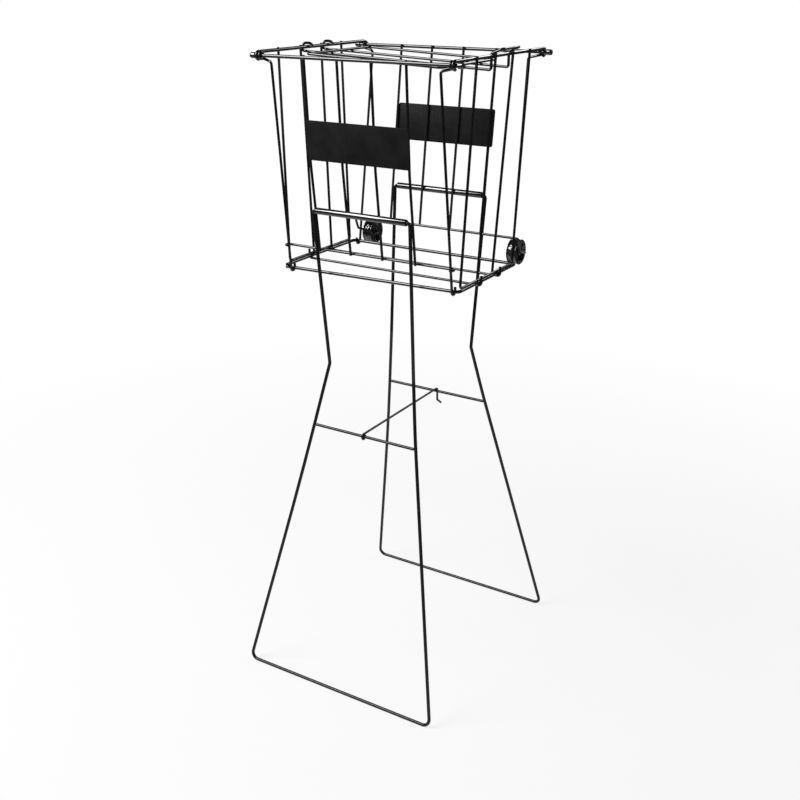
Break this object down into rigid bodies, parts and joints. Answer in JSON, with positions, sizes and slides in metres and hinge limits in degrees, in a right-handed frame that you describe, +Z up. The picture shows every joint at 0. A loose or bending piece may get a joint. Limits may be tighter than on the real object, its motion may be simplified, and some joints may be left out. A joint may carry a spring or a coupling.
{
  "type": "tennis ball hopper",
  "caption": "Wire ball basket on leg frames that fold up over it as handles, with a hinged lid, a brace hooked between the legs and small wheels at the rear.",
  "frame": {"origin": "on the floor, midway between the two leg frames' floor bars", "axes": "+X along the basket towards the lid's free end, +Y from the front leg frame to the rear one, +Z up"},
  "size_m": [0.3198, 0.3764, 0.9063],
  "materials": {
    "coated_wire": "gloss",
    "coated_sheet": "satin",
    "black_plastic": "gloss"
  },
  "bodies": {
    "basket": {"floor_ring": "coated_wire", "front_rail": "coated_wire", "rear_rail": "coated_wire", "left_rail": "coated_wire", "right_rail": "coated_wire", "front_rail_cap_left": "black_plastic", "front_rail_cap_right": "black_plastic", "rear_rail_cap_left": "black_plastic", "rear_rail_cap_right": "black_plastic", "front_wall_wire_1": "coated_wire", "front_wall_wire_2": "coated_wire", "front_wall_wire_3": "coated_wire", "front_wall_wire_4": "coated_wire", "rear_wall_wire_1": "coated_wire", "rear_wall_wire_2": "coated_wire", "rear_wall_wire_3": "coated_wire", "rear_wall_wire_4": "coated_wire", "front_corner_wire_left": "coated_wire", "front_corner_wire_right": "coated_wire", "rear_corner_wire_left": "coated_wire", "rear_corner_wire_right": "coated_wire", "front_wall_rod": "coated_wire", "rear_axle_rod": "coated_wire", "left_side_hoop": "coated_wire", "left_side_wire_front": "coated_wire", "left_side_wire_rear": "coated_wire", "right_side_hoop": "coated_wire", "right_side_wire_front": "coated_wire", "right_side_wire_rear": "coated_wire", "front_floor_rod": "coated_wire", "rear_floor_rod": "coated_wire", "front_hinge_tube": "coated_wire", "rear_hinge_tube": "coated_wire", "front_plate": "coated_sheet", "rear_plate": "coated_sheet", "left_axle_cap": "black_plastic", "right_axle_cap": "black_plastic"},
    "front_leg_frame": {"front_leg_loop": "coated_wire", "front_cross_bar": "coated_wire"},
    "rear_leg_frame": {"rear_leg_loop": "coated_wire", "rear_cross_bar": "coated_wire"},
    "brace": {"brace": "coated_wire"},
    "lid": {"lid_hinge_wire": "coated_wire", "lid_frame": "coated_wire"},
    "left_wheel": {"left_wheel": "black_plastic"},
    "right_wheel": {"right_wheel": "black_plastic"}
  },
  "joints": [
    {"name": "front_leg_fold", "type": "hinge", "parent": "basket", "child": "front_leg_frame", "pos_m": [0, -0.10406, 0.6965], "axis": [-1, 0, 0], "range_deg": [0, 179]},
    {"name": "rear_leg_fold", "type": "hinge", "parent": "basket", "child": "rear_leg_frame", "pos_m": [0, 0.10406, 0.6965], "axis": [1, 0, 0], "range_deg": [0, 177]},
    {"name": "brace_swing", "type": "hinge", "parent": "front_leg_frame", "child": "brace", "pos_m": [0, -0.10287, 0.383], "axis": [1, 0, 0], "range_deg": [0, 350]},
    {"name": "lid_swing", "type": "hinge", "parent": "basket", "child": "lid", "pos_m": [-0.1442, 0, 0.8965], "axis": [0, -1, 0], "range_deg": [0, 267]},
    {"name": "left_wheel_spin", "type": "hinge", "parent": "basket", "child": "left_wheel", "pos_m": [-0.1222, 0.11322, 0.6196], "axis": [1, 0, 0], "continuous": true},
    {"name": "right_wheel_spin", "type": "hinge", "parent": "basket", "child": "right_wheel", "pos_m": [0.1222, 0.11322, 0.6196], "axis": [1, 0, 0], "continuous": true}
  ]
}
